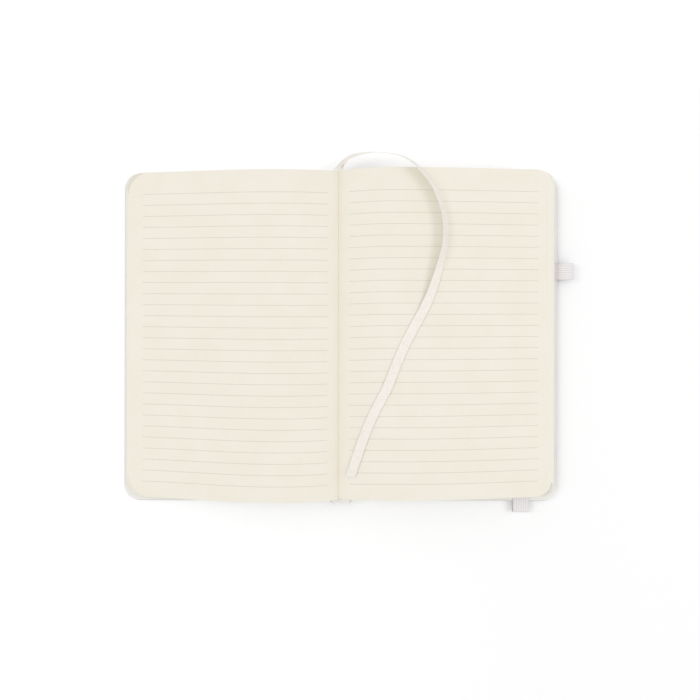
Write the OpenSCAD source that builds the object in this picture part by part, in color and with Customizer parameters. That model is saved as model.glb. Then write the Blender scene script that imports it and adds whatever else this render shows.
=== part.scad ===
// Hard-cover notebook lying open, face up, with ruled pages, a ribbon bookmark,
// an elastic closing band and a pen loop on the back cover.
// X runs across the spread, Y from the foot of the pages to the head, Z up from the table.

/* [Cover] */
// Height of the cover from foot to head
cover_h = 210; // [180:1:240]
// Width of each cover board
board_w = 129.4; // [110:0.2:150]
// Thickness of the cover boards
board_t = 1.6; // [1.2:0.1:2.4]
// Thickness of the soft covering that wraps the boards
skin_t = 0.4; // [0.3:0.05:0.6]
// Radius of the outer corners of the cover
cover_r = 9.5; // [5:0.5:12]
// Width of the margin of covering turned in round the boards
turn_in = 14; // [11:0.5:18]

/* [Spine] */
// Width of the card strip that stiffens the spine
spine_w = 11; // [9:0.5:16]
// Thickness of the card strip in the spine
spine_t = 1; // [0.6:0.1:1.6]
// Height by which the spine is drawn up off the table as the book lies open
spine_rise = 6.7; // [5:0.1:9]
// Distance sideways from the edge of the spine to each hinge line
hinge_run = 2.5; // [1.5:0.1:5]
// Distance from each hinge line to the edge of its cover board
hinge_gap = 1.2; // [0.8:0.1:3]
// Thickness of the cloth glued along the back of the pages
lining_t = 0.3; // [0.2:0.05:0.5]

/* [Pages] */
// Height of the pages from foot to head
page_h = 206; // [170:1:209]
// Distance by which the pages stop short of the head of the cover
head_square = 0.3; // [0:0.1:3]
// Thickness of the endpapers
paper_t = 0.2; // [0.15:0.05:0.3]
// Thickness of the left-hand pages
left_stack = 2.9; // [2:0.1:6]
// Thickness of the right-hand pages
right_stack = 5.5; // [3:0.1:9]
// Distance by which the lowest left page stops short of the edge of the cover
left_margin = 1.8; // [1:0.1:5]
// Distance by which the lowest right page stops short of the edge of the cover
right_margin = 2.8; // [1:0.1:5]
// How far the lowest left page reaches past the top one
left_fan = 1.8; // [0:0.1:4]
// How far the lowest right page reaches past the top one
right_fan = 5.4; // [0:0.1:8]
// Height of the arch of the left-hand pages above the table
left_arch = 21.1; // [18:0.1:26]
// Height of the arch of the right-hand pages above the table
right_arch = 20.6; // [18:0.1:26]
// Distance by which the right-hand pages have slipped towards the head
right_slip = 1.6; // [0:0.1:2]
// Distance sideways from the gutter to the top of both arches
arch_at = 38; // [26:0.5:50]
// Distance of the gutter to the left of the middle of the spine
gutter_off = 1.5; // [0:0.1:3]
// Height of the glued and sewn root of the pages below the gutter
root_h = 2; // [1:0.1:4]
// Radius of the corners of the pages
page_r = 8; // [4:0.5:10]

/* [Ruling] */
// Distance between ruled lines
line_pitch = 7; // [6:0.1:9]
// Distance from the head of the page to the first ruled line
line_top = 14; // [8:0.5:18]
// Least distance from the last ruled line to the foot of the page
line_foot = 8; // [5:0.5:14]
// Width of a ruled line
line_w = 0.35; // [0.2:0.05:0.6]
// Margin beside the ruled lines at the edge of the left-hand page
left_line_edge = 9.5; // [4:0.5:14]
// Margin beside the ruled lines at the edge of the right-hand page
right_line_edge = 6.5; // [4:0.5:14]
// Margin beside the ruled lines at the gutter
line_gutter = 6.7; // [5:0.1:12]
// Thickness given to the printed lines
ink_t = 0.06; // [0.04:0.01:0.1]

/* [Elastic band] */
// Width of the closing band
band_w = 10; // [6:0.5:14]
// Thickness of the closing band
band_t = 0.8; // [0.6:0.05:1]
// Distance from the edge of the cover to the middle of the closing band
band_in = 23.5; // [16:0.5:36]
// Distance by which the slack band stands out past the foot of the cover
band_slack = 7.5; // [4:0.5:12]

/* [Pen loop] */
// Width of the pen loop along the edge of the cover
loop_w = 10.6; // [8:0.2:16]
// Thickness of the elastic of the pen loop
loop_t = 0.6; // [0.4:0.05:0.8]
// Distance by which the pen loop stands out past the cover
loop_out = 10.6; // [9:0.2:14]
// Clear height inside the pen loop
loop_gap = 5.8; // [4.6:0.1:6.2]
// Distance of the pen loop from the middle of the cover towards the head
loop_at = 42.3; // [0:0.5:80]
// Length of the ends of the pen loop glued inside the cover
loop_tail = 12; // [8:0.5:16]

/* [Ribbon] */
// Width of the ribbon bookmark
ribbon_w = 6; // [4:0.5:8]
// Thickness of the ribbon bookmark
ribbon_t = 0.3; // [0.2:0.05:0.5]

/* [Hidden] */
$fn = 64;

// Gap left between pieces that move apart
seat_gap = 0.3;
// Gap left between pieces that only touch
touch_gap = 0.05;
// Width of covering left bare round each pasted-down endpaper
border = 3;
// Spare length of a shape that cuts through another
over = 1;
// Spare radius with which a rounding crosses the sides that it joins
cross_r = 0.05;
// Straight steps in the curve from the gutter up to the arch
roll_steps = 8;
// Straight steps in the curve from the arch to the edge of the page
fall_steps = 10;
// Sideways lean of the curve where it leaves the gutter
gutter_lean = 1.5;
// Part of the way to the top of the arch at which the curve turns level
crown = 0.42;
// How steeply the faces of the stacks rise at the gutter: both top pages, then each lowest one
top_lift = 4.7;
left_low_lift = 5.2;
right_low_lift = 3;
// How high the pages are held up just before their edges
left_dip = 3.2;
right_dip = 4.6;

// Heights of the layers of the cover above the table
skin_z = band_t;
board_z = skin_z + skin_t;
fold_z = board_z + board_t;
cover_z = fold_z + skin_t;
cover_t = cover_z - skin_z;

// Places across the spread, measured from the middle of the spine
hinge_x = spine_w / 2 + hinge_run;
board_x = hinge_x + hinge_gap;
cover_x = board_x + board_w + skin_t;
band_x = cover_x - band_in;

// Distances sideways from the gutter to the edges of the top pages
left_reach = cover_x - left_margin - gutter_off - left_fan;
right_reach = cover_x - right_margin + gutter_off - right_fan;

// Heights in the raised spine and the root of the pages
spine_z = skin_z + spine_rise;
strip_z = spine_z + skin_t;
strip_top = strip_z + spine_t;
lining_z = strip_top + skin_t + touch_gap;
root_z = lining_z + lining_t;
gutter_z = root_z + root_h;

// The ends of the pages along Y
head_y = cover_h / 2 - head_square;
foot_y = head_y - page_h;

// The pen loop's glued ends and its oval
loop_z = cover_z;
loop_layers = 2 * loop_t;
oval_h = loop_gap + 2 * loop_t;
oval_w = loop_out;
oval_steps = 40;
oval_z = max(loop_z + loop_t, oval_h / 2 + touch_gap);

// The bulge of the endpaper over the pen loop's ends, on which the right-hand pages lie
loop_bulge = loop_layers + paper_t;
left_rest = cover_z + paper_t + seat_gap + paper_t;
right_rest = cover_z + loop_bulge + seat_gap + paper_t;

// The open book is placed so that its whole outline is centred on the origin
shift_x = -loop_out / 2;
shift_y = (band_slack - band_t - cover_t / 2) / 2;

// Point at t on the curve drawn from a to d by the handles b and c
function curve(a, b, c, d, t) =
    pow(1 - t, 3) * a + 3 * pow(1 - t, 2) * t * b + 3 * (1 - t) * t * t * c + pow(t, 3) * d;
function steps(n) = [for (i = [1:n]) i / n];

// Outline of one face of a stack of pages, from its root at the gutter over the arch to the
// edge of the page. shape holds how steeply it rises at the gutter, the shares of the way to
// the edge that run level past the arch and straight down to the edge, and the dip there.
function leaf(root, top, edge, shape) =
    let (crest = [arch_at, top], way = edge[0] - arch_at)
    concat(
        [root],
        [for (t = steps(roll_steps))
            curve(root, root + [gutter_lean, shape[0]], [crown * arch_at, top], crest, t)],
        [for (t = steps(fall_steps))
            curve(crest, crest + [shape[1] * way, 0], edge + [-shape[2] * way, shape[3]],
                  edge, t)]);

left_top = leaf([0, gutter_z], left_arch,
                [left_reach, left_rest + left_stack], [top_lift, 0.337, 0.39, left_dip]);
left_low = leaf([left_stack, root_z], left_arch - left_stack,
                [left_reach + left_fan, left_rest], [left_low_lift, 0.33, 0.4, left_dip]);
right_top = leaf([0, gutter_z], right_arch,
                 [right_reach, right_rest + right_stack], [top_lift, 0.297, 0.3, right_dip]);
right_low = leaf([right_stack, root_z], right_arch - right_stack,
                 [right_reach + right_fan, right_rest], [right_low_lift, 0.281, 0.341, right_dip]);

function backwards(list) = [for (i = [len(list) - 1:-1:0]) list[i]];

// Direction square to a line of points, to its right, at point i
function aside(list, i) =
    let (a = list[max(i - 1, 0)], b = list[min(i + 1, len(list) - 1)], d = b - a)
    [d[1], -d[0]] / norm(d);
// Outline of a band of thickness t that lies on the right of a line of points
function band(list, t) =
    concat(list, backwards([for (i = [0:len(list) - 1]) list[i] + t * aside(list, i)]));

// Section of the endpaper on one side: up the hinge, over the spine's edge and along under
// the pages.
// side is -1 for the front of the book and 1 for the back.
function gutter_side(side) = side * gutter_off;
function endpaper_line(low, side) =
    concat([[hinge_x + touch_gap, board_z + touch_gap],
            [spine_w / 2 + skin_t + touch_gap, strip_z + touch_gap],
            [spine_w / 2 + 2 * touch_gap, lining_z + touch_gap]],
           [for (p = low) p + [-gutter_side(side), 0]]);

// Ribbon route: X from the middle of the spine, Y from the middle of the cover, Z from the
// table, and the turn of the ribbon's width from level in degrees
ribbon_route = [
    [-1.6, 104.8, 9.48, 0], [-1.6, 106.4, 9.48, 0], [-1.4, 108.2, 9.85, 25],
    [-0.4, 110.4, 10.5, 44], [2.4, 112.6, 11.7, 54], [7, 114.3, 13.3, 60],
    [12, 115.4, 15, 66], [18, 115.9, 17, 73], [24.3, 115.7, 18.9, 78],
    [30.4, 114.8, 20.6, 76], [36, 113.2, 22, 73], [40.8, 111, 23, 71],
    [44.6, 108.4, 23.6, 68], [48, 105, 23.8, 65], [51.6, 101.4, 23.7, 60],
    [54.8, 97.6, 23.5, 57], [58.4, 91.5, 23.2, 56], [60.8, 85.4, 23, 58],
    [63.4, 76, 22.8, 60], [64.2, 67, 22.6, 60], [63.6, 57.3, 22.4, 56],
    [61.6, 48, 22.1, 45], [58.6, 37, 21.6, 30], [55, 26.4, 21, 14], [50, 16, 20.8, 4],
    [45, 7, 20.9, 0], [39.6, -3.6, 21, -1], [34.8, -14.7, 21, -1], [28.8, -30, 20.85, -3],
    [22.6, -42, 20.4, -5], [17.5, -53, 19.8, -8], [13, -65, 19.1, -11],
    [9.5, -75.6, 18.35, -14], [6.2, -85.8, 17.4, -18]];
// Corners of the ribbon's section, and the power that flattens it
ribbon_sides = 8;
ribbon_flat = 0.4;

// Places pieces drawn about the middle of the spine
module place() {
    translate([shift_x, shift_y, 0]) children();
}

// Turns a piece drawn for the back cover into its twin on the front cover
module on_front() {
    mirror([1, 0, 0]) children();
}

// Draws a section of the spread along Y from y0 to y1
module along(y0, y1) {
    translate([0, y1, 0]) rotate([90, 0, 0]) linear_extrude(y1 - y0) children();
}

// Flat outline from x0 to x1 and y0 to y1 with round corners at x1
module sheet_outline(x0, x1, y0, y1, r) {
    translate([x0, y0]) square([x1 - r - x0, y1 - y0]);
    translate([x0, y0 + r]) square([x1 - x0, y1 - y0 - 2 * r]);
    for (y = [y0 + r, y1 - r]) translate([x1 - r, y]) circle(r);
}

// Flat slab of the cover, inset from its edges, between two heights
module cover_slab(x0, inset, z0, z1) {
    y = cover_h / 2 - inset;
    translate([0, 0, z0]) linear_extrude(z1 - z0)
        sheet_outline(x0, cover_x - inset, -y, y, max(cover_r - inset, 1));
}

// Cover board
module cover_board() {
    cover_slab(board_x, skin_t, board_z, fold_z);
}

// Covering: outer face, edges and the margin turned in over the board
module covering() {
    difference() {
        union() {
            cover_slab(board_x, 0, skin_z, cover_z);
            translate([hinge_x, -cover_h / 2, skin_z])
                cube([hinge_gap + over, cover_h, skin_t]);
        }
        cover_slab(board_x - over, skin_t, board_z, fold_z);
        cover_slab(board_x - over, turn_in, board_z, cover_z + over);
    }
}

// Raised patch of endpaper over something glued under it, open towards the cover's edge
module bulge(x0, x1, y0, y1, h) {
    translate([x0, y0, cover_z]) cube([x1 - x0, y1 - y0, h + paper_t]);
}

// Endpaper glued down inside a cover, stepped over the turned-in margin
module pastedown() {
    difference() {
        cover_slab(hinge_x + hinge_gap / 2, border, fold_z, cover_z + paper_t);
        difference() {
            cover_slab(0, 0, fold_z - over, cover_z);
            cover_slab(0, turn_in + touch_gap, fold_z - 2 * over, cover_z + over);
        }
        cover_slab(0, turn_in + touch_gap + paper_t, fold_z + paper_t, cover_z + over);
    }
}

// Section of the pages on one side of the gutter
module stack_section(top, low) {
    polygon(concat([[0, root_z]], top, backwards(low)));
}

// Cutter that rounds the corners of the pages along their slanting edge
module corner_cut(reach, rest, fan, stack) {
    lean = atan2(fan, stack);
    tall = 4 * right_stack;
    translate([reach, 0, rest]) rotate([0, -lean, 0])
        for (y = [foot_y, head_y]) {
            inward = y < 0 ? 1 : -1;
            difference() {
                translate([-page_r, min(y, y + inward * page_r) - (y < 0 ? over : 0), -tall])
                    cube([page_r + over, page_r + over, 2 * tall]);
                translate([-page_r, y + inward * page_r, -2 * tall])
                    cylinder(r = page_r + cross_r, h = 4 * tall);
            }
        }
}

// Pages on one side of the gutter, with their corners rounded
module stack(top, low, reach, rest, fan, thick) {
    difference() {
        along(foot_y, head_y) stack_section(top, low);
        corner_cut(reach + fan, rest, fan, thick);
    }
}

module pages() color("ivory") place() translate([-gutter_off, 0, 0]) {
    translate([0, right_slip, 0])
        stack(right_top, right_low, right_reach, right_rest, right_fan, right_stack);
    mirror([1, 0, 0]) stack(left_top, left_low, left_reach, left_rest, left_fan, left_stack);
    // the sewn root joins both sides
    translate([-left_stack / 2, foot_y + right_slip + over, root_z + root_h / 4])
        cube([(left_stack + right_stack) / 2, page_h - right_slip - 2 * over, root_h / 2]);
}

// Section of the ink on one page, between its margins
module ink_section(line, end) {
    intersection() {
        polygon(band(backwards(line), ink_t));
        translate([line_gutter, 0])
            square([end - line_gutter, left_arch + right_arch]);
    }
}

module ruled_lines() color("silver") place() translate([-gutter_off, 0, 0]) {
    for (y = [head_y - line_top:-line_pitch:foot_y + line_foot]) {
        translate([0, right_slip, 0]) along(y - line_w / 2, y + line_w / 2)
            ink_section(right_top, right_reach - right_line_edge);
        along(y - line_w / 2, y + line_w / 2) mirror([1, 0])
            ink_section(left_top, left_reach - left_line_edge);
    }
}

// Endpaper leaf under the pages, with its fold down to the hinge
module flyleaf(low, side, reach) {
    intersection() {
        along(foot_y, head_y) polygon(band(endpaper_line(low, side), paper_t));
        translate([0, 0, board_z]) linear_extrude(left_arch + right_arch)
            sheet_outline(0, reach - gutter_side(side), foot_y, head_y, page_r);
    }
}

module front_flyleaf() color("whitesmoke") place()
    on_front() flyleaf(left_low, -1, left_reach + left_fan);
module back_flyleaf() color("whitesmoke") place() translate([0, right_slip, 0])
    flyleaf(right_low, 1, right_reach + right_fan);

module spine_lining() color("linen") place()
    translate([-gutter_off - left_stack, foot_y, lining_z])
        cube([left_stack + right_stack, page_h, lining_t]);

module spine_strip() color("tan") place()
    translate([-spine_w / 2, skin_t - cover_h / 2, strip_z])
        cube([spine_w, cover_h - 2 * skin_t, spine_t]);

// Covering of the spine: the outer strip, the two hinges and the ends turned in
module spine_covering() color("white") place() {
    half = spine_w / 2;
    along(-cover_h / 2, cover_h / 2)
        polygon([[-hinge_x, skin_z], [-hinge_x + skin_t, skin_z], [-half, spine_z],
                 [half, spine_z], [hinge_x - skin_t, skin_z], [hinge_x, skin_z],
                 [hinge_x, board_z], [half + skin_t, strip_z], [-half - skin_t, strip_z],
                 [-hinge_x, board_z]]);
    for (y = [-1, 1])
        difference() {
            translate([-half, y < 0 ? -cover_h / 2 : cover_h / 2 - turn_in, spine_z])
                cube([spine_w, turn_in, strip_top + skin_t - spine_z]);
            translate([-spine_w, skin_t - cover_h / 2, spine_z - over])
                cube([2 * spine_w, cover_h - 2 * skin_t, strip_top + over - spine_z]);
        }
}

module front_board() color("tan") place() on_front() cover_board();
module back_board() color("tan") place() cover_board();
module front_covering() color("white") place() on_front() covering();
module back_covering() color("white") place() covering();
module front_pastedown() color("whitesmoke") place() on_front() pastedown();

module back_pastedown() color("whitesmoke") place() {
    band_end = cover_h / 2 - turn_in;
    side = band_w / 2 + paper_t;
    loop_x = cover_x - loop_tail;
    difference() {
        union() {
            pastedown();
            for (s = [0, 1]) mirror([0, s, 0])
                bulge(band_x - side, band_x + side, band_end - paper_t,
                      cover_h / 2 - border, band_t);
            bulge(loop_x - paper_t, cover_x - border, loop_at - loop_w / 2 - paper_t,
                  loop_at + loop_w / 2 + paper_t, loop_layers);
        }
        for (s = [0, 1]) mirror([0, s, 0])
            translate([band_x - band_w / 2, band_end, cover_z - over])
                cube([band_w, turn_in, band_t + over]);
        translate([loop_x, loop_at - loop_w / 2, cover_z - over])
            cube([loop_tail, loop_w, loop_layers + over]);
    }
}

// Half ring seen from the side, round the edge of the cover
module turn(r_in, r_out) {
    difference() {
        circle(r_out);
        circle(r_in);
        translate([-r_out - over, -r_out - over]) square([r_out + over, 2 * (r_out + over)]);
    }
}

// Closing band: under the cover, round its head, and in a slack loop past its foot
module elastic_band() color("mistyrose") place() {
    low = -cover_h / 2 - band_slack + cover_t / 2 + band_t;
    top = cover_h / 2;
    middle = skin_z + cover_t / 2;
    translate([band_x - band_w / 2, 0, 0]) rotate([90, 0, 90]) linear_extrude(band_w) {
        translate([low, 0]) square([top - low, band_t]);
        translate([top, middle]) turn(cover_t / 2, cover_t / 2 + band_t);
        translate([low, middle]) mirror([1, 0]) turn(cover_t / 2, cover_t / 2 + band_t);
        translate([low, cover_z]) square([turn_in - cover_h / 2 - low, band_t]);
        translate([top - turn_in, cover_z]) square([turn_in, band_t]);
    }
}

// Point on the oval of the pen loop, inset from its outside
function oval(a, inset) =
    [cover_x + (oval_w - inset) / 2 + (oval_w / 2 - inset) * cos(a) + inset / 2,
     oval_z + (oval_h / 2 - inset) * sin(a)];
module oval_outline(inset) {
    polygon([for (i = [0:oval_steps - 1]) oval(360 * i / oval_steps, inset)]);
}

// Pen loop: an oval of elastic past the edge, with both ends glued inside the cover
module pen_loop() color("mistyrose") place()
    along(loop_at - loop_w / 2, loop_at + loop_w / 2) {
        difference() {
            union() {
                oval_outline(0);
                translate([cover_x - loop_tail, loop_z])
                    square([loop_tail + oval_w / 4, loop_layers]);
            }
            oval_outline(loop_t);
        }
    }

// Frame of the ribbon at point i: the direction of its width and of its thickness
function ribbon_at(i) = [for (k = [0:2]) ribbon_route[i][k]];
function ribbon_way(i) =
    let (n = len(ribbon_route) - 1, d = ribbon_at(min(i + 1, n)) - ribbon_at(max(i - 1, 0)))
    d / norm(d);
function ribbon_wide(i) =
    let (way = ribbon_way(i), level = cross(way, [0, 0, 1]), flat = level / norm(level),
         a = ribbon_route[i][3])
    cos(a) * flat + sin(a) * cross(flat, way);
function ribbon_ring(i) =
    let (wide = ribbon_wide(i), thick = cross(wide, ribbon_way(i)))
    [for (k = [0:ribbon_sides - 1])
        let (a = 360 * (k + 0.5) / ribbon_sides, c = cos(a), s = sin(a))
        ribbon_at(i) + sign(c) * pow(abs(c), ribbon_flat) * ribbon_w / 2 * wide
                     + sign(s) * pow(abs(s), ribbon_flat) * ribbon_t / 2 * thick];

module ribbon_bookmark() color("white") place() {
    rings = len(ribbon_route);
    n = ribbon_sides;
    polyhedron(
        points = [for (i = [0:rings - 1]) each ribbon_ring(i)],
        faces = concat(
            [[for (k = [0:n - 1]) k]],
            [for (i = [0:rings - 2], k = [0:n - 1])
                [i * n + k, (i + 1) * n + k, (i + 1) * n + (k + 1) % n, i * n + (k + 1) % n]],
            [[for (k = [n - 1:-1:0]) (rings - 1) * n + k]]));
}

pages();
ruled_lines();
front_flyleaf();
back_flyleaf();
spine_lining();
spine_strip();
spine_covering();
front_board();
front_covering();
front_pastedown();
back_board();
back_covering();
back_pastedown();
elastic_band();
pen_loop();
ribbon_bookmark();
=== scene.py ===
import math
import random

import bmesh
import bpy
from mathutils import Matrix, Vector
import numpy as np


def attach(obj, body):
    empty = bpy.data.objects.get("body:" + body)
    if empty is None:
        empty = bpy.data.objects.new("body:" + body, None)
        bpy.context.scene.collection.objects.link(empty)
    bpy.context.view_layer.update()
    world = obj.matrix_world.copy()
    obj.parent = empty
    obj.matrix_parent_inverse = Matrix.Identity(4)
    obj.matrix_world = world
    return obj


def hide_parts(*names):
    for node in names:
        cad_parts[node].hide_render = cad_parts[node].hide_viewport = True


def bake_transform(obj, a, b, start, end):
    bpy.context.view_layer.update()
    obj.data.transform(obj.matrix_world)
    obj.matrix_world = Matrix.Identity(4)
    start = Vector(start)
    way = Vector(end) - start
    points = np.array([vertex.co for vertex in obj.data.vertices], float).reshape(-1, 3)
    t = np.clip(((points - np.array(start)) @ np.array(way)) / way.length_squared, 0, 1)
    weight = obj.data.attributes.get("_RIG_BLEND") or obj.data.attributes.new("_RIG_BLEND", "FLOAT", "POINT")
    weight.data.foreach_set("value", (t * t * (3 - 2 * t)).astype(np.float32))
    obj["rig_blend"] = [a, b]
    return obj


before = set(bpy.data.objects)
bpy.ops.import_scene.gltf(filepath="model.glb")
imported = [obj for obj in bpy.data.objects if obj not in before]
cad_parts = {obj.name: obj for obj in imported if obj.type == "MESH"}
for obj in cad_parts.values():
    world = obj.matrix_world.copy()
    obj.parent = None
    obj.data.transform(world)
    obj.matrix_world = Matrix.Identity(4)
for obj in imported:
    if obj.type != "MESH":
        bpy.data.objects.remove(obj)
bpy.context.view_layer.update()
print("frame loaded")

# Sizes are in millimetres from the middle of the spine and the middle of the cover, as in the part.
book = {
    "coverHeight": 210, "boardWidth": 129.4, "boardThick": 1.6, "skinThick": 0.4, "coverCorner": 9.5,
    "turnIn": 14, "spineWidth": 11, "spineThick": 1, "spineRise": 6.7, "hingeRun": 2.5,
    "hingeGap": 1.2, "liningThick": 0.3, "bandThick": 0.8, "bandWidth": 10, "bandIn": 23.5,
    "bandSlack": 7.5, "loopOut": 10.6, "loopThick": 0.6, "touch": 0.05, "seat": 0.3, "paperThick": 0.2,
}
skinZ = book["bandThick"]
boardZ = skinZ + book["skinThick"]
foldZ = boardZ + book["boardThick"]
coverZ = foldZ + book["skinThick"]
coverThick = coverZ - skinZ
spineHalf = book["spineWidth"] / 2
hingeX = spineHalf + book["hingeRun"]
boardX = hingeX + book["hingeGap"]
coverX = boardX + book["boardWidth"] + book["skinThick"]
bandX = coverX - book["bandIn"]
spineZ = skinZ + book["spineRise"]
stripZ = spineZ + book["skinThick"]
stripTop = stripZ + book["spineThick"]
liningZ = stripTop + book["skinThick"] + book["touch"]
rootZ = liningZ + book["liningThick"]
halfHeight = book["coverHeight"] / 2
shift = Vector((-book["loopOut"] / 2, (book["bandSlack"] - book["bandThick"] - coverThick / 2) / 2, 0))


def place(point):                       # millimetres on the spread to metres in the frame
    return (Vector(point) + shift) * 0.001


# The camera is straight above, with the same framing as the photo.
cameraSizes = {"above": (0.0004, 0.0330, 0.450), "turn": 0.002, "lens": 35.8, "shiftUp": -0.0857}


def makeCamera():
    data = bpy.data.cameras.new("camera")
    data.lens, data.sensor_width, data.shift_y = cameraSizes["lens"], 36, cameraSizes["shiftUp"]
    camera = bpy.data.objects.new("camera", data)
    camera.location = cameraSizes["above"]
    camera.rotation_euler = (0, 0, cameraSizes["turn"])
    data.clip_start, data.clip_end = 0.01, 20
    bpy.context.scene.collection.objects.link(camera)
    bpy.context.scene.camera = camera


makeCamera()
print("camera placed")


def paint(red, green, blue):            # a screen colour from 0 to 255 as the shader's linear one
    linear = [c / 255 / 12.92 if c < 10.3 else ((c / 255 + 0.055) / 1.055) ** 2.4 for c in (red, green, blue)]
    return (*linear, 1)


class Tone:                             # a number that varies over a surface
    def __init__(self, finish, socket):
        self.finish, self.socket = finish, socket

    def maths(self, operation, first, second=0.0):
        return self.finish.tone("ShaderNodeMath", {"operation": operation}, {0: first, 1: second}, 0)

    def __add__(self, other): return self.maths("ADD", self, other)
    def __radd__(self, other): return self.maths("ADD", other, self)
    def __sub__(self, other): return self.maths("SUBTRACT", self, other)
    def __rsub__(self, other): return self.maths("SUBTRACT", other, self)
    def __mul__(self, other): return self.maths("MULTIPLY", self, other)
    def __rmul__(self, other): return self.maths("MULTIPLY", other, self)
    def __abs__(self): return self.maths("ABSOLUTE", self)
    def sine(self): return self.maths("SINE", self)
    def most(self, other): return self.maths("MAXIMUM", self, other)
    def least(self, other): return self.maths("MINIMUM", self, other)

    def fade(self, low, high):          # 0 below low, 1 above high
        return self.finish.tone("ShaderNodeMapRange", {"interpolation_type": "SMOOTHSTEP"},
                                {"Value": self, 1: low, 2: high}, "Result")


class Finish:                           # one material and its nodes, or the world and its nodes
    def __init__(self, name, world=None, **sockets):
        self.material = world or bpy.data.materials.new(name)
        self.material.use_nodes = True
        self.tree = self.material.node_tree
        kind = "BACKGROUND" if world else "BSDF_PRINCIPLED"
        self.shader = next(n for n in self.tree.nodes if n.type == kind)
        self.feed(self.shader, sockets)
        self.coords = None if world else self.add("ShaderNodeTexCoord").outputs["Object"]

    def feed(self, node, sockets):
        for key, value in sockets.items():
            socket = node.inputs[key]
            if isinstance(value, Tone):
                self.tree.links.new(value.socket, socket)
            elif isinstance(value, bpy.types.NodeSocket):
                self.tree.links.new(value, socket)
            else:
                socket.default_value = value

    def add(self, kind, settings=None, sockets=None):
        node = self.tree.nodes.new(kind)
        for key, value in (settings or {}).items():
            setattr(node, key, value)
        self.feed(node, sockets or {})
        return node

    def tone(self, kind, settings=None, sockets=None, output="Fac"):
        return Tone(self, self.add(kind, settings, sockets).outputs[output])

    def noise(self, scale, detail=2.0, stretch=(1, 1, 1), roughness=0.5):
        vector = self.add("ShaderNodeMapping", None, {"Vector": self.coords, "Scale": stretch}).outputs[0]
        return self.tone("ShaderNodeTexNoise", None,
                         {"Vector": vector, "Scale": scale, "Detail": detail, "Roughness": roughness})

    def axis(self, letter):             # distance along one axis, in metres
        return self.tone("ShaderNodeSeparateXYZ", None, {0: self.coords}, letter)

    def attribute(self, name):
        return self.tone("ShaderNodeAttribute", {"attribute_name": name}, None, "Fac")

    def mix(self, share, first, second):
        node = self.add("ShaderNodeMix", {"data_type": "RGBA"}, {0: share, 6: first, 7: second})
        return node.outputs[2]

    def seen(self):                     # 1 for what the camera, a reflection or a clear surface shows
        path = self.add("ShaderNodeLightPath")
        camera, glossy, clear = (Tone(self, path.outputs[output]) for output in
                                 ("Is Camera Ray", "Is Glossy Ray", "Is Transmission Ray"))
        return camera.most(glossy).most(clear)

    def bump(self, height, distance, strength):
        node = self.add("ShaderNodeBump", None,
                        {"Height": height, "Distance": distance, "Strength": strength})
        self.feed(self.shader, {"Normal": node.outputs["Normal"]})

    def colour(self, value):
        self.feed(self.shader, {"Base Color": value})


def pagePaperFinish():
    paper = Finish("pagePaper", Roughness=0.72, **{"Specular IOR Level": 0.3})
    cloud = paper.noise(60, 4)          # slow clouding of the pulp
    fibre = paper.noise(1400, 5, (1, 0.6, 1), 0.65)
    tint = paper.mix(cloud.fade(0.3, 0.7), paint(241, 236, 223), paint(239, 234, 219))
    leaf = paper.attribute("leafPaintedLightShade")
    # painted light: lower leaves are lighter, in bands by signature, to offset the shade between them
    tint = paper.mix(leaf.least(1), tint, paint(249, 246, 238))
    # painted shade on the corners of the leaves at signature breaks
    tint = paper.mix((leaf - 1).most(0), tint, paint(140, 132, 112))
    paper.colour(paper.mix(fibre.fade(0.35, 0.85) * 0.35, tint, paint(247, 243, 233)))
    paper.bump(fibre + cloud * 0.3, 0.00002, 0.35)
    return paper.material


def lineInkFinish():
    ink = Finish("lineInk", Roughness=0.8, **{"Specular IOR Level": 0.2})
    patch = ink.noise(900, 3)
    ink.colour(ink.mix(patch.fade(0.3, 0.75), paint(218, 213, 201), paint(224, 219, 206)))
    ink.bump(patch, 0.00001, 0.3)
    return ink.material


def endPaperFinish():
    paper = Finish("endPaper", Roughness=0.65, **{"Specular IOR Level": 0.35})
    cloud = paper.noise(45, 3)
    fibre = paper.noise(1100, 5, (0.6, 1, 1), 0.6)
    tint = paper.mix(cloud.fade(0.3, 0.7), paint(242, 240, 234), paint(238, 236, 229))
    paper.colour(paper.mix(fibre.fade(0.4, 0.9) * 0.3, tint, paint(248, 247, 243)))
    paper.bump(fibre, 0.00002, 0.35)
    return paper.material


def coverFinish():
    skin = Finish("coverSkin", Roughness=0.5, **{"Specular IOR Level": 0.4, "Sheen Weight": 0.08,
                                                 "Sheen Roughness": 0.4})
    pebble = skin.tone("ShaderNodeTexVoronoi", {"feature": "SMOOTH_F1"},
                       {"Vector": skin.coords, "Scale": 1300, "Smoothness": 0.6}, "Distance")
    drift = skin.noise(25, 3)
    tint = skin.mix(drift.fade(0.3, 0.7), paint(244, 242, 237), paint(240, 238, 232))
    # painted shade on the rounded edges of the cover
    skin.colour(skin.mix(skin.attribute("rim"), tint, paint(180, 177, 171)))
    skin.feed(skin.shader, {"Roughness": 0.46 + drift * 0.12})
    skin.bump(pebble + skin.noise(5000, 2) * 0.4, 0.00003, 0.4)
    return skin.material


def liningFinish():
    cloth = Finish("liningCloth", Roughness=0.9, **{"Specular IOR Level": 0.2})
    threadsX = (cloth.axis("X") * 9000).sine()
    threadsY = (cloth.axis("Y") * 9000).sine()
    weave = threadsX.most(threadsY)
    cloth.colour(cloth.mix(weave.fade(-0.2, 0.9), paint(196, 188, 168), paint(232, 227, 212)))
    cloth.bump(weave, 0.00008, 0.6)
    return cloth.material


def boardFinish():
    card = Finish("greyBoard", Roughness=0.85, **{"Specular IOR Level": 0.25})
    layers = card.noise(500, 4, (0.3, 0.3, 6))
    flecks = card.noise(1800, 2)
    tint = card.mix(layers, paint(172, 166, 154), paint(196, 190, 178))
    card.colour(card.mix(flecks.fade(0.62, 0.75) * 0.5, tint, paint(120, 112, 100)))
    card.bump(layers + flecks * 0.4, 0.00005, 0.5)
    return card.material


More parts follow.
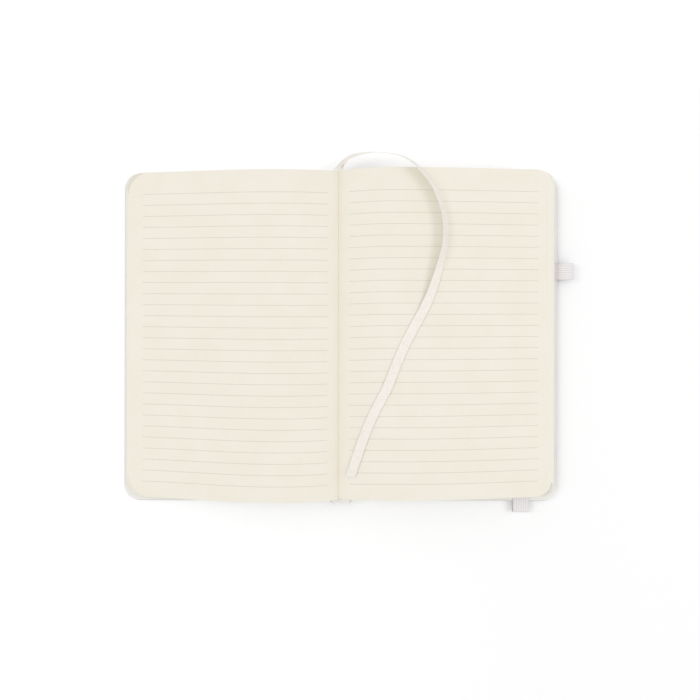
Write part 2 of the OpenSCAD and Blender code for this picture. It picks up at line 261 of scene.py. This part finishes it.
def elasticFinish():
    band = Finish("ribbedElastic", Roughness=0.75, **{"Specular IOR Level": 0.25, "Sheen Weight": 0.2,
                                                      "Sheen Roughness": 0.5})
    ribAndPaintedShade = band.attribute("ribAndPaintedShade")         # 0 in the grooves, 1 on the ribs, lower where shade is painted
    knit = (band.attribute("along") * 7500 + ribAndPaintedShade * 1.6).sine()
    fuzz = band.noise(2600, 3)
    # painted shade: darker in the grooves and along the selvedges
    tint = band.mix(ribAndPaintedShade.fade(0.0, 0.75), paint(210, 203, 206), paint(244, 240, 241))
    tint = band.mix(knit.fade(-1, 1) * 0.22, tint, paint(228, 222, 224))
    band.colour(band.mix(fuzz.fade(0.55, 0.8) * 0.25, tint, paint(250, 248, 250)))
    band.bump(knit * 0.5 + fuzz * 0.5, 0.00006, 0.6)
    return band.material


def ribbonFinish():
    satin = Finish("satinRibbon", Roughness=0.38, **{"Specular IOR Level": 0.45, "Sheen Weight": 0.7,
                                                     "Sheen Roughness": 0.35})
    across, along = satin.attribute("across"), satin.attribute("along")
    warp = (across * 190).sine()        # fine threads along the ribbon
    weft = (along * 16000 + across * 30).sine()
    selvedge = abs(across).fade(0.86, 0.93)
    slub = satin.noise(500, 3)
    tint = satin.mix(slub.fade(0.3, 0.7), paint(249, 244, 236), paint(244, 238, 230))
    tint = satin.mix(selvedge * 0.5, tint, paint(236, 229, 220))
    satin.colour(satin.mix(warp.fade(-1, 1) * 0.12, tint, paint(253, 250, 246)))
    satin.feed(satin.shader, {"Roughness": 0.34 + slub * 0.1 + selvedge * 0.15})
    satin.bump(warp * (1 - selvedge) + weft * (0.25 + selvedge * 0.6), 0.00003, 0.45)
    return satin.material


paperLook, inkLook, endLook, coverLook = pagePaperFinish(), lineInkFinish(), endPaperFinish(), coverFinish()
liningLook, boardLook, ribbonLook = liningFinish(), boardFinish(), ribbonFinish()
elasticLook = elasticFinish()
print("materials made")


def finishPiece(name, bm, look, nodes, body=None, blend=None, sharp=35, normals=True):
    if normals:
        bmesh.ops.recalc_face_normals(bm, faces=bm.faces)
    for vert in bm.verts:
        vert.co = place(vert.co)
    mesh = bpy.data.meshes.new(name)
    bm.to_mesh(mesh)
    bm.free()
    for polygon in mesh.polygons:
        polygon.use_smooth = True
    mesh.set_sharp_from_angle(angle=math.radians(sharp))
    mesh.materials.append(look)
    piece = bpy.data.objects.new(name, mesh)
    bpy.context.scene.collection.objects.link(piece)
    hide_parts(*nodes)
    if blend:
        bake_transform(piece, *blend)
    else:
        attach(piece, body)
    print("made", name, len(mesh.polygons), "faces")
    return piece


def carry(bm, section, frames, shape=None):     # carries a section along a row of frames
    along = bm.verts.layers.float.new("along")
    first = face = bm.faces.new([bm.verts.new((w, t, 0)) for w, t in section])
    for step, (centre, wide, thick, run) in enumerate(frames):
        if step:
            grown = bmesh.ops.extrude_face_region(bm, geom=[face])["geom"]
            if face is not first:       # only the two end faces stay
                bmesh.ops.delete(bm, geom=[face], context="FACES_ONLY")
            face = next(g for g in grown if isinstance(g, bmesh.types.BMFace))
        for vert, (w, t) in zip(face.verts, section):
            w, t, forward = shape(w, t, run) if shape else (w, t, 0)
            vert.co = centre + w * wide + t * thick + forward * wide.cross(thick)
            vert[along] = run


# The ribbon bookmark runs from the head of the spine and rides on the root.
ribbonSizes = {"width": 6, "thick": 0.3, "substeps": 5, "cup": 92, "cupRise": (1.4, 3.4), "cupFall": (4, 15),
               "slant": -0.3, "crease": 207, "creaseWidth": 2.2, "creaseDepth": 0.28}
ribbonRoute = [                         # x, y, z and the turn from flat in degrees
    (-1.6, 104.8, 9.48, 0), (-1.6, 106.4, 9.48, 0), (-1.4, 108.2, 9.85, 25),
    (-0.4, 110.4, 10.5, 44), (2.4, 112.6, 11.7, 54), (7, 114.3, 13.3, 60),
    (12, 115.4, 15, 66), (18, 115.9, 17, 73), (24.3, 115.7, 18.9, 78),
    (30.4, 114.8, 20.6, 76), (36, 113.2, 22, 73), (40.8, 111, 23, 71),
    (44.6, 108.4, 23.6, 68), (48, 105, 23.8, 65), (51.6, 101.4, 23.7, 60),
    (54.8, 97.6, 23.5, 57), (58.4, 91.5, 23.2, 56), (60.8, 85.4, 23, 58),
    (63.4, 76, 22.8, 60), (64.2, 67, 22.6, 60), (63.6, 57.3, 22.4, 56),
    (61.6, 48, 22.1, 45), (58.6, 37, 21.6, 30), (55, 26.4, 21, 14), (50, 16, 20.8, 4),
    (45, 7, 20.9, 0), (39.6, -3.6, 21, -1), (34.8, -14.7, 21, -1), (28.8, -30, 20.85, -3),
    (22.6, -42, 20.4, -5), (17.5, -53, 19.8, -8), (13, -65, 19.1, -11),
    (9.5, -75.6, 18.35, -14), (6.2, -85.8, 17.4, -18)]


def smoothRoute(points, substeps):      # a Catmull-Rom curve through the points
    rows = [Vector(p) for p in points]
    rows = [2 * rows[0] - rows[1], *rows, 2 * rows[-1] - rows[-2]]
    curve = []
    for a, b, c, d in zip(rows, rows[1:], rows[2:], rows[3:]):
        for step in range(substeps):
            t = step / substeps
            curve.append(0.5 * (2 * b + t * (c - a) + t * t * (2 * a - 5 * b + 4 * c - d)
                                + t * t * t * (3 * b - a - 3 * c + d)))
    return curve + [rows[-2]]


def makeRibbon():
    s = ribbonSizes
    route = smoothRoute(ribbonRoute, s["substeps"])
    centres = [row.to_3d() for row in route]
    half, t = s["width"] / 2, s["thick"] / 2
    rows = (-1, -0.985, -0.93, -0.5, 0, 0.5, 0.93, 0.985, 1)
    crown = (0.3, 0.8, 1, 0.8, 0.8, 0.8, 1, 0.8, 0.3)         # thicker along both selvedges
    section = [(half * r, -t * c) for r, c in zip(rows, crown)] \
        + [(half * r, t * c) for r, c in reversed(list(zip(rows, crown)))]
    frames, run = [], 0.0
    for i, centre in enumerate(centres):
        way = (centres[min(i + 1, len(centres) - 1)] - centres[max(i - 1, 0)]).normalized()
        level = way.cross(Vector((0, 0, 1))).normalized()
        turn = math.radians(route[i][3])
        wide = math.cos(turn) * level + math.sin(turn) * level.cross(way)
        if i:
            run += (centre - centres[i - 1]).length * 0.001
        frames.append((centre, wide, wide.cross(way), run))
    end = run * 1000

    def shape(w, t, run):               # cupped where it leaves the gutter, a soft crease, a slanting cut
        run *= 1000
        rise, fall = (min(max((run - a) / (b - a), 0), 1) for a, b in (s["cupRise"], s["cupFall"]))
        cup = math.radians(s["cup"]) * rise * (1 - fall * fall * (3 - 2 * fall))
        if cup > 0.01:
            radius = half / cup
            w, t = (radius + t) * math.sin(w / radius), (radius + t) * math.cos(w / radius) - radius
        fold = math.exp(-((run - s["crease"] + 0.5 * w) / s["creaseWidth"]) ** 2)
        return w, t + s["creaseDepth"] * fold, s["slant"] * w * (run > end - 0.01)

    bm = bmesh.new()
    across = bm.verts.layers.float.new("across")
    carry(bm, section, frames, shape)
    for i, vert in enumerate(bm.verts):
        vert[across] = section[i % len(section)][0] / half
    piece = finishPiece("ribbonBookmark", bm, ribbonLook, ["ribbon_bookmark"], "root",
                        sharp=60)
    return run


ribbonLength = makeRibbon()
print("ribbon length", round(ribbonLength * 1000, 1), "mm")


# Every sheet is a thin leaf that runs from the spine over the arch to the fore-edge.
pages = {
    "height": 206, "headSquare": 0.3, "corner": 8, "gutterOff": 1.5, "rootHeight": 2, "archAt": 38,
    "gutterLean": 1.5, "gutterFill": 0.45, "crown": 0.42, "slipRun": 30, "slipNear": 0.45,
    "rollSteps": 14, "fallSteps": 18, "cornerSteps": 8,
    "left": {"stack": 2.9, "leaves": 26, "fan": 1.8, "margin": 1.8, "slip": 0, "arch": 21.1, "dip": 3.2,
             "cornerFan": 6, "paintedCornerShade": (1.3, 1.6), "paintedCornerFrom": 1,
             "top": (4.7, 0.337, 0.39), "low": (5.2, 0.33, 0.4)},
    "right": {"stack": 5.5, "leaves": 50, "fan": 5.4, "margin": 2.8, "slip": 1.6, "arch": 20.6, "dip": 4.6,
              "cornerFan": 0, "paintedCornerShade": (1.6, 1.15), "paintedCornerFrom": 26,
              "top": (4.7, 0.297, 0.3), "low": (3, 0.281, 0.341)},
    "seed": 7, "bunch": 8, "bunchPhase": 2.4, "bunchTrim": 0.22, "trim": 0.07, "looseness": 0.05,
    "leafFill": 0.9, "leafPaintedLight": 0.5, "paintedLightStep": 0.25, "paintedCornerEvery": 5, "paintedCornerLeaves": 2,
}
headY = halfHeight - pages["headSquare"]
footY = headY - pages["height"]
gutterZ = rootZ + pages["rootHeight"]
pages["left"]["rest"] = coverZ + 2 * book["paperThick"] + book["seat"]
pages["right"]["rest"] = coverZ + 2 * book["loopThick"] + 2 * book["paperThick"] + book["seat"]
for side, sign in (("left", -1), ("right", 1)):
    stack = pages[side]
    stack["reach"] = coverX - stack["margin"] + sign * pages["gutterOff"] - stack["fan"]


def curvePoint(a, b, c, d, t):          # a point of the curve from a to d with handles b and c
    return (1 - t) ** 3 * a + 3 * (1 - t) ** 2 * t * b + 3 * (1 - t) * t * t * c + t ** 3 * d


def leafCurve(root, top, edge, shape, dip):
    crest, way = Vector((pages["archAt"], top)), edge[0] - pages["archAt"]
    root, edge = Vector(root), Vector(edge)
    roll = [curvePoint(root, root + Vector((pages["gutterLean"], shape[0])),
                       Vector((pages["crown"] * pages["archAt"], top)), crest, i / pages["rollSteps"])
            for i in range(pages["rollSteps"] + 1)]
    fall = [curvePoint(crest, crest + Vector((shape[1] * way, 0)), edge + Vector((-shape[2] * way, dip)),
                       edge, i / pages["fallSteps"]) for i in range(1, pages["fallSteps"] + 1)]
    return roll + fall


def stackCurve(side, depth):            # depth is 0 at the open page and 1 at the lowest leaf
    s = pages[side]
    top = leafCurve((0, gutterZ), s["arch"], (s["reach"], s["rest"] + s["stack"]), s["top"], s["dip"])
    low = leafCurve((s["stack"], rootZ), s["arch"] - s["stack"], (s["reach"] + s["fan"], s["rest"]),
                    s["low"], s["dip"])
    return [a.lerp(b, depth) for a, b in zip(top, low)]


def onSpread(side, line):               # distance from the gutter to X on the spread
    sign = -1 if side == "left" else 1
    return [Vector((-pages["gutterOff"] + sign * p[0], 0, p[1])) for p in line]


def lengthsOf(path):
    runs = [0.0]
    for a, b in zip(path, path[1:]):
        runs.append(runs[-1] + (b - a).length)
    return runs


def slipAt(side, x):                    # the leaves slip towards the head, less so close to the gutter
    away, near = min(abs(x + pages["gutterOff"]) / pages["slipRun"], 1), pages["slipNear"]
    return pages[side]["slip"] * (near + (1 - near) * away * away * (3 - 2 * away))


def pointAt(path, runs, u):
    for i in range(len(path) - 1):
        if u <= runs[i + 1] or i == len(path) - 2:
            return path[i].lerp(path[i + 1], (u - runs[i]) / (runs[i + 1] - runs[i]))


def roundCorner(bm, x, y, radius, way, cornerShade):   # cuts the corner at x, y with tangents of its arc, and paints shade on the arc's edge
    middle = Vector((x - radius, y - way * radius, 0))
    for step in range(pages["cornerSteps"]):
        angle = math.pi / 2 * (step + 0.5) / pages["cornerSteps"]
        out = Vector((math.cos(angle), way * math.sin(angle), 0))
        near = [f for f in bm.faces if any((v.co - middle).dot(out) > radius for v in f.verts)]
        geom = list({g for f in near for g in (f, *f.edges, *f.verts)})
        bmesh.ops.bisect_plane(bm, geom=geom, plane_co=middle + radius * out, plane_no=out, clear_outer=True)
    # painted shade on the corner arc
    for vert in bm.verts:
        if cornerShade and vert.co.x > middle.x and (vert.co.y - middle.y) * way > 0 \
                and (vert.co - middle).length > radius - 0.01:
            vert[bm.verts.layers.float["leafPaintedLightShade"]] = cornerShade


def bentSheet(path, low, high, thick, side, corner=0.0, cornerShades=(0, 0), paintedLight=0.0):
    # a flat sheet cut to size, with its outer corners rounded, then bent along the path
    runs = lengthsOf(path)
    bm = bmesh.new()
    tone = bm.verts.layers.float.new("leafPaintedLightShade")
    rows = [low, low + corner + 0.5, high - corner - 0.5, high] if corner else [low, high]
    bmesh.ops.create_grid(bm, x_segments=len(runs) - 1, y_segments=len(rows) - 1, size=1)
    for i, vert in enumerate(bm.verts):
        vert.co = (runs[i % len(runs)], rows[i // len(runs)], 0)
        # painted light for this leaf
        vert[tone] = paintedLight
    if corner:
        roundCorner(bm, runs[-1], low, corner, -1, cornerShades[0])
        roundCorner(bm, runs[-1], high, corner, 1, cornerShades[1])
    for vert in bm.verts:
        spot = pointAt(path, runs, min(vert.co.x, runs[-1]))
        vert.co = (spot.x, vert.co.y + slipAt(side, spot.x), spot.z)
    bm.normal_update()
    if sum(f.normal.z for f in bm.faces) < 0:
        bmesh.ops.reverse_faces(bm, faces=bm.faces)
    bmesh.ops.solidify(bm, geom=bm.faces[:], thickness=thick)
    return bm


def gather(whole, part):                # adds one mesh to another and drops it
    mesh = bpy.data.meshes.new("part")
    part.to_mesh(mesh)
    part.free()
    whole.from_mesh(mesh)
    bpy.data.meshes.remove(mesh)


def makePages():
    rng = random.Random(pages["seed"])
    whole = bmesh.new()
    for side in ("left", "right"):
        s = pages[side]
        pitch = s["stack"] / s["leaves"]
        for k in range(s["leaves"]):
            depth = k / s["leaves"]
            line = stackCurve(side, depth)
            start = Vector((s["stack"] * depth, rootZ))
            if k and (line[0] - start).length > 0.2:
                line = [start] + line
            bunch = k // pages["bunch"]
            group = math.sin(bunch * pages["bunchPhase"]) * pages["bunchTrim"]
            trim = rng.gauss(0, pages["trim"]) + group if k else 0
            line[-1] = line[-1] + (line[-1] - line[-2]).normalized() * trim
            slip = rng.gauss(0, pages["looseness"])
            if k == 0:                  # the open leaves meet a little above the root
                floor = gutterZ + pages["gutterFill"]
                line = [Vector((0, floor))] + [p for p in line if p.y > floor + 0.1 or p.x > 5]
            corner = pages["corner"] + (1 - depth) * s["cornerFan"]
            step = pages["paintedLightStep"]
            # lower leaves get painted light that offsets the shade between them, lighter in alternate
            # signatures
            paintedLight = 0 if k == 0 else pages["leafPaintedLight"] + step * (bunch % 2) + rng.uniform(0, step)
            # leaves at each signature break get painted shade on their corner arcs
            hasPaintedCorner = k >= s["paintedCornerFrom"] and k % pages["paintedCornerEvery"] < pages["paintedCornerLeaves"]
            gather(whole, bentSheet(onSpread(side, line), footY + slip, headY + slip,
                                    pitch * pages["leafFill"], side, corner,
                                    s["paintedCornerShade"] if hasPaintedCorner else (0, 0), paintedLight))
    finishPiece("pageBlock", whole, paperLook, ["pages"], "root", sharp=40, normals=False)


def between(line, low, high):           # the part of a line between two distances from the gutter
    cut = [p for p in line if low < p[0] < high]
    ends = []
    for x in (low, high):
        for a, b in zip(line, line[1:]):
            if a[0] <= x <= b[0] and b[0] > a[0]:
                ends.append(a.lerp(b, (x - a[0]) / (b[0] - a[0])))
                break
    return [ends[0], *cut, ends[1]]


ruling = {"pitch": 7, "fromHead": 14, "fromFoot": 8, "width": 0.35, "left": 9.5, "right": 6.5,
          "inner": 6.7, "proud": 0.03, "thick": 0.025}


def makeRuledLines():
    whole = bmesh.new()
    for side in ("left", "right"):
        line = between(stackCurve(side, 0), ruling["inner"], pages[side]["reach"] - ruling[side])
        line = [p + Vector((0, ruling["proud"])) for p in line]
        y = headY - ruling["fromHead"]
        while y > footY + ruling["fromFoot"]:
            gather(whole, bentSheet(onSpread(side, line), y - ruling["width"] / 2,
                                    y + ruling["width"] / 2, ruling["thick"], side))
            y -= ruling["pitch"]
    finishPiece("ruledLines", whole, inkLook, ["ruled_lines"], "root", normals=False)


def makeFlyleaf(side, node, name):
    sign = -1 if side == "left" else 1
    low = [Vector((p[0], 0, p[2])) for p in onSpread(side, stackCurve(side, 1))]
    touch = book["touch"]
    hinge = [Vector((sign * x, 0, z + touch))
             for x, z in ((hingeX + touch, boardZ), (spineHalf + book["skinThick"] + touch, stripZ),
                          (spineHalf + 2 * touch, liningZ))]
    fold = bentSheet(hinge + [low[0]], footY, headY, book["paperThick"], side)
    leaf = bentSheet([p - Vector((0, 0, 0.02)) for p in low], footY, headY, book["paperThick"], side,
                     pages["corner"])
    gather(fold, leaf)
    finishPiece(name, fold, endLook, [node], "root", normals=False)


makePages()
makeRuledLines()
makeFlyleaf("left", "front_flyleaf", "frontFlyleaf")
makeFlyleaf("right", "back_flyleaf", "backFlyleaf")


# One soft skin on each side goes round the board, over the hinge and up to the middle of the spine.
skin = {
    "edgeRound": 0.9, "edgeSteps": 5, "cornerSteps": 9, "paintedShadeReach": 0.7, "bendReach": 0.8,
    "hingeFlap": ((-0.35, -0.1), (-0.4, -0.45), (-0.25, -0.9)),          # turned in over the hinge
    "spineFlap": ((0, 0.35), (0.12, 0.3), (0.35, 0.13), (book["turnIn"] - 0.5, 0)),
    "hingePath": ((hingeX + 0.1, 0), (hingeX - 0.3, 0.08), (hingeX - 0.62, 0.42),
                  (spineHalf + 1.15, book["spineRise"] * 0.5), (spineHalf + 0.35, book["spineRise"] - 0.75),
                  (spineHalf + 0.12, book["spineRise"] - 0.2), (spineHalf - 0.35, book["spineRise"]),
                  (spineHalf - 2.5, book["spineRise"]), (0, book["spineRise"])),
}


def atHinge(item):                      # whether an edge or a face lies at the board's inner edge
    return all(abs(v.co.x - boardX) < 0.01 for v in item.verts)


def pullEdges(bm, edges, step):         # extrudes edges by a step and gives the new ones
    grown = bmesh.ops.extrude_edge_only(bm, edges=edges)["geom"]
    verts = [g for g in grown if isinstance(g, bmesh.types.BMVert)]
    bmesh.ops.translate(bm, verts=verts, vec=step)
    return [g for g in grown if isinstance(g, bmesh.types.BMEdge) and all(v in verts for v in g.verts)]


def makeCoverSkin(side, body, name, node):
    bm = bmesh.new()
    bmesh.ops.create_grid(bm, x_segments=1, y_segments=1, size=0.5)
    bmesh.ops.scale(bm, verts=bm.verts, vec=(coverX - boardX, book["coverHeight"], 1))
    bmesh.ops.translate(bm, verts=bm.verts, vec=((coverX + boardX) / 2, 0, skinZ))
    corners = [v for v in bm.verts if v.co.x > coverX - 1]
    bmesh.ops.bevel(bm, geom=corners, offset=book["coverCorner"], offset_type="OFFSET", affect="VERTICES",
                    segments=skin["cornerSteps"], profile=0.5, material=-1)
    grown = bmesh.ops.extrude_face_region(bm, geom=bm.faces[:])["geom"]
    bmesh.ops.translate(bm, verts=[g for g in grown if isinstance(g, bmesh.types.BMVert)],
                        vec=(0, 0, coverThick))
    rim = [e for e in bm.edges if abs(e.verts[0].co.z - e.verts[1].co.z) < 0.01 and not atHinge(e)]
    bmesh.ops.bevel(bm, geom=rim, offset=skin["edgeRound"], offset_type="OFFSET", affect="EDGES",
                    segments=skin["edgeSteps"], profile=0.5, material=-1)
    bmesh.ops.delete(bm, geom=[f for f in bm.faces if atHinge(f)], context="FACES_ONLY")
    # the turned-in margin: the rest of the inside face is left open for the board
    for spot, normal in (((coverX - book["turnIn"], 0, 0), (1, 0, 0)),
                         ((0, halfHeight - book["turnIn"], 0), (0, 1, 0)),
                         ((0, book["turnIn"] - halfHeight, 0), (0, 1, 0))):
        upper = [f for f in bm.faces if f.calc_center_median().z > coverZ - 0.01]
        geom = upper + list({e for f in upper for e in f.edges}) + list({v for f in upper for v in f.verts})
        bmesh.ops.bisect_plane(bm, geom=geom, plane_co=spot, plane_no=normal)
    bare = [f for f in bm.faces if f.calc_center_median().z > coverZ - 0.01
            and max(v.co.x for v in f.verts) < coverX - book["turnIn"] + 0.01
            and max(abs(v.co.y) for v in f.verts) < halfHeight - book["turnIn"] + 0.01]
    bmesh.ops.delete(bm, geom=bare, context="FACES_ONLY")
    # over the hinge: a flap turned in at the head and the foot, then the skin up to the spine
    edges = [e for e in bm.edges if atHinge(e)
             and min(v.co.z for v in e.verts) > skinZ + skin["edgeRound"] - 0.01]
    for x, z in skin["hingeFlap"]:
        edges = pullEdges(bm, edges, (x, 0, z))
    edges = [e for e in bm.edges if atHinge(e)
             and max(v.co.z for v in e.verts) < skinZ + skin["edgeRound"] + 0.01]
    lastX, lastZ = boardX, 0.0
    for x, z in skin["hingePath"]:
        edges = pullEdges(bm, edges, (x - lastX, 0, z - lastZ))
        lastX, lastZ = x, z
    # turned in over the card strip at the head and the foot
    for end in (-1, 1):
        edges = [e for e in bm.edges if e.is_boundary
                 and all(abs(v.co.y - end * halfHeight) < 0.01 and v.co.x < spineHalf + 0.13 for v in e.verts)]
        for inward, rise in skin["spineFlap"]:
            edges = pullEdges(bm, edges, (0, -end * inward, rise))
    bmesh.ops.remove_doubles(bm, verts=bm.verts, dist=0.001)
    if side < 0:
        bmesh.ops.scale(bm, verts=bm.verts, vec=(-1, 1, 1))
    bmesh.ops.recalc_face_normals(bm, faces=bm.faces)
    lowest = min(bm.faces, key=lambda f: f.calc_center_median().z)
    if lowest.normal.z > 0:
        bmesh.ops.reverse_faces(bm, faces=bm.faces)
    bmesh.ops.solidify(bm, geom=bm.faces[:], thickness=book["skinThick"])
    rim = bm.verts.layers.float.new("rim")      # painted shade: greyer on the rounded edges of the cover
    for vert in [v for v in bm.verts if abs(v.co.x) > boardX]:
        inward = min(coverX - abs(vert.co.x), halfHeight - abs(vert.co.y))
        vert[rim] = max(1 - max(inward, 0) / skin["paintedShadeReach"], 0)
    start, end = (place((side * (hingeX + reach), 0, skinZ))
                  for reach in (-skin["bendReach"], skin["bendReach"]))
    return finishPiece(name, bm, coverLook, [node, "spine_covering"],
                       blend=("root", body, start, end), sharp=50, normals=False)


makeCoverSkin(-1, "front_cover", "frontCoverSkin", "front_covering")
makeCoverSkin(1, "back_cover", "backCoverSkin", "back_covering")


# A ribbed band runs under the back cover, and a ribbed pen loop stands out from its edge.
elastic = {"ribs": 9, "groove": 0.13, "ribSteps": 4, "selvedge": 0.65, "bendSteps": 12,
           "loopRibs": 9, "loopWidth": 10.6, "loopGap": 5.8, "loopOut": 10, "loopAt": 42.3, "loopStart": 158,
           "loopSteps": 30, "tail": 12, "paintedShadeSpans": ((-2.5, 0.3), (9.2, 10.1)), "paintedShadeTone": 0.45}


def ribbedSection(width, thick, ribs, groove):
    steps = ribs * elastic["ribSteps"]
    rows = [i / steps for i in range(steps + 1)]
    # rib values lowered at the selvedges also paint shade there
    heights = [abs(math.sin(math.pi * r * ribs)) ** 0.6 * (elastic["selvedge"] if abs(r - 0.5) > 0.44 else 1)
               for r in rows]
    half = width / 2
    upper = [(half * (2 * r - 1), thick / 2 - groove * (1 - h)) for r, h in zip(rows, heights)]
    lower = [(w, -t) for w, t in reversed(upper)]
    return lower + upper, list(reversed(heights)) + heights


def pathFrames(points, wide):           # frames of a section carried along points in one plane
    frames, run = [], 0.0
    for i, p in enumerate(points):
        way = (points[min(i + 1, len(points) - 1)] - points[max(i - 1, 0)]).normalized()
        if i:
            run += (p - points[i - 1]).length * 0.001
        frames.append((p, wide, wide.cross(way), run))
    return frames


def makeElastic(name, node, points, wide, width, thick, ribs, paintedShadeSpans=()):
    section, heights = ribbedSection(width, thick, ribs, elastic["groove"])
    bm = bmesh.new()
    ribAndPaintedShade = bm.verts.layers.float.new("ribAndPaintedShade")
    carry(bm, section, pathFrames(points, wide))
    for i, vert in enumerate(bm.verts):     # painted shade where the loop comes out from under the page edges and at its outer fold
        flat = any(low < vert.co.x < high for low, high in paintedShadeSpans)
        vert[ribAndPaintedShade] = heights[i % len(heights)] * (elastic["paintedShadeTone"] if flat else 1)
    return finishPiece(name, bm, elasticLook, [node], "back_cover", sharp=60)


def makeBand():
    t, middle = book["bandThick"], skinZ + coverThick / 2
    low = -halfHeight - book["bandSlack"] + coverThick / 2 + t
    bend = coverThick / 2 + t / 2
    inside, top = halfHeight - book["turnIn"], coverZ + t / 2
    angles = [math.pi * i / elastic["bendSteps"] for i in range(1, elastic["bendSteps"])]
    spots = [(inside, top), (halfHeight - 6, top), (halfHeight, top)]
    spots += [(halfHeight + bend * math.sin(a), middle + bend * math.cos(a)) for a in angles]
    spots += [(halfHeight, t / 2), (0, t / 2), (low, t / 2)]
    spots += [(low - bend * math.sin(a), middle - bend * math.cos(a)) for a in angles]
    spots += [(low, top), (-halfHeight, top), (-inside, top)]
    makeElastic("elasticBand", "elastic_band", [Vector((bandX, y, z)) for y, z in spots],
                Vector((1, 0, 0)), book["bandWidth"], t, elastic["ribs"])


def makePenLoop():
    s = elastic
    t, high = book["loopThick"], s["loopGap"] + 2 * book["loopThick"]
    middle = max(coverZ + t, high / 2 + book["touch"])
    a, b = s["loopOut"] / 2 - t / 2, high / 2 - t / 2
    centre = coverX + s["loopOut"] / 2
    start = math.radians(s["loopStart"])
    angles = [start - i / s["loopSteps"] * 2 * start for i in range(s["loopSteps"] + 1)]
    spots = [(coverX - x, coverZ + t * 1.5) for x in (s["tail"], 3, 2.4, 1.2, 0.1)]
    spots += [(centre + a * math.cos(angle), middle + b * math.sin(angle)) for angle in angles]
    spots += [(coverX - 3, coverZ + t / 2), (coverX - s["tail"], coverZ + t / 2)]
    makeElastic("penLoop", "pen_loop", [Vector((x, s["loopAt"], z)) for x, z in spots],
                Vector((0, 1, 0)), s["loopWidth"], t, s["loopRibs"],
                [(coverX + low, coverX + high) for low, high in s["paintedShadeSpans"]])


makeBand()
makePenLoop()


# These pieces keep the part's own solids.
for node, look in (("spine_lining", liningLook), ("spine_strip", boardLook), ("front_board", boardLook),
                   ("back_board", boardLook), ("front_pastedown", endLook), ("back_pastedown", endLook)):
    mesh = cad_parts[node].data
    mesh.materials.clear()
    mesh.materials.append(look)
print("inner pieces finished")


studio = {"floorSize": 6.0, "world": 0.78, "keyPower": 12, "keySize": 1.0, "keyAt": (-1.9, 0.5, 1.9),
          "fillPower": 8.5, "fillSize": 1.0, "fillAt": (1.7, 0.2, 1.5), "floorDrop": 0.0001,
          "lift": 0.04, "paintedGlowLeft": 0.07, "paintedGlowHead": 0.10}


def makeFloor():
    bm = bmesh.new()
    bmesh.ops.create_grid(bm, x_segments=1, y_segments=1, size=studio["floorSize"] / 2)
    bmesh.ops.translate(bm, verts=bm.verts, vec=(0, 0, -studio["floorDrop"]))
    mesh = bpy.data.meshes.new("floor")
    bm.to_mesh(mesh)
    bm.free()
    floor = bpy.data.objects.new("floor", mesh)
    bpy.context.scene.collection.objects.link(floor)
    look = Finish("floorPaper", Roughness=0.9, **{"Specular IOR Level": 0.1})
    look.colour((0.96, 0.96, 0.96, 1))
    # painted glow for camera rays, a touch brighter towards the left and the head, which hides the soft shadow
    # there so it shows mostly to the right and low
    x, y = look.axis("X"), look.axis("Y")
    lift = studio["lift"] + studio["paintedGlowLeft"] * (1 - x.fade(-0.15, 0.15)) \
        + studio["paintedGlowHead"] * (y * 1.3 - x).fade(-0.02, 0.02)
    glow = look.mix(look.seen() * lift, (0, 0, 0, 1), (1, 1, 1, 1))
    look.feed(look.shader, {"Emission Color": glow, "Emission Strength": 1.0})
    mesh.materials.append(look.material)


def makeLight(name, at, size, power):
    data = bpy.data.lights.new(name, "AREA")
    data.shape, data.size, data.energy = "DISK", size, power
    light = bpy.data.objects.new(name, data)
    light.location = at
    light.rotation_euler = (-Vector(at)).to_track_quat("-Z", "Y").to_euler()
    bpy.context.scene.collection.objects.link(light)


def makeWorld():
    world = bpy.data.worlds.new("studio")
    bpy.context.scene.world = world
    sky = Finish("studio", world, Color=(1, 1, 1, 1))
    sky.feed(sky.shader, {"Strength": sky.seen() * (1 - studio["world"]) + studio["world"]})


makeFloor()
makeLight("keyLight", studio["keyAt"], studio["keySize"], studio["keyPower"])
makeLight("fillLight", studio["fillAt"], studio["fillSize"], studio["fillPower"])
makeWorld()
bpy.context.scene.view_settings.view_transform = "Standard"
print("studio lit")
